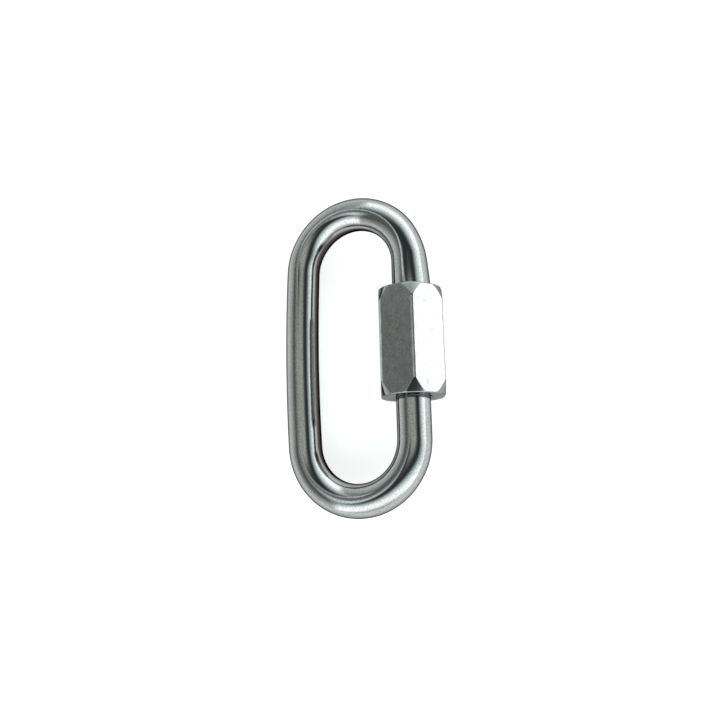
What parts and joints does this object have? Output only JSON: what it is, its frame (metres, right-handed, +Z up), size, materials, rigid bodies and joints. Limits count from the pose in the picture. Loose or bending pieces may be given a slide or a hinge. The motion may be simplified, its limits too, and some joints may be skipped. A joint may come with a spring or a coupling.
{
  "type": "oval quick link",
  "caption": "Oval quick link of bent round steel bar, closed by a long hexagonal sleeve nut on one side.",
  "frame": {"origin": "middle of the footprint, on the surface that the link lies on", "axes": "+Y along the long sides, the way the nut moves to close; +X towards the nut; +Z up from the surface"},
  "size_m": [0.03, 0.058, 0.0122],
  "materials": {
    "polished_bar": "polished",
    "satin_nut": "satin"
  },
  "bodies": {
    "bar": {"link_body": "polished_bar"},
    "nut": {"sleeve_nut": "satin_nut"}
  },
  "joints": [
    {"name": "nut_travel", "type": "slide", "parent": "bar", "child": "nut", "axis": [0, -1, 0], "range_m": [0, 0.008]}
  ]
}
